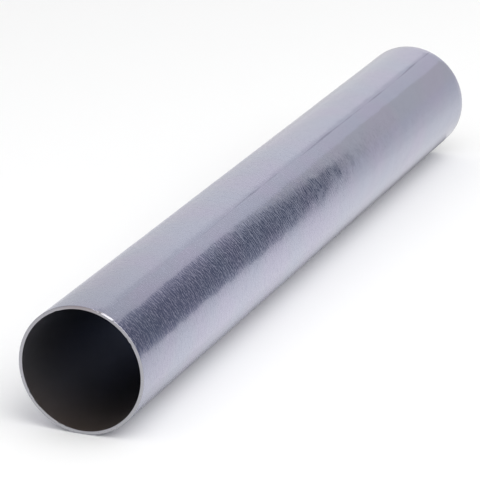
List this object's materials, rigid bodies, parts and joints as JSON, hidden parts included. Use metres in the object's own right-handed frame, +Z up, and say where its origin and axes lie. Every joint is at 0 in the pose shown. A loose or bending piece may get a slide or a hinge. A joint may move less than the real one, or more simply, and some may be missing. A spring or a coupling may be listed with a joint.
{
  "type": "steel tube",
  "caption": "Straight round thin-walled steel tube, a short cut length of welded tube stock, open at both ends, with square-cut and lightly deburred rims.",
  "frame": {"origin": "on the floor line, under the middle of the tube's length, where the tube rests lying on its side", "axes": "+X along the tube, from the end that faces the viewer to the far end; +Z up, away from the floor; +Y across the tube"},
  "size_m": [0.45, 0.0602, 0.0603],
  "materials": {
    "ground_steel": "belt-ground round the tube, fine crosswise scratches, satin"
  },
  "bodies": {
    "root": {"tube": "ground_steel"}
  },
  "joints": []
}
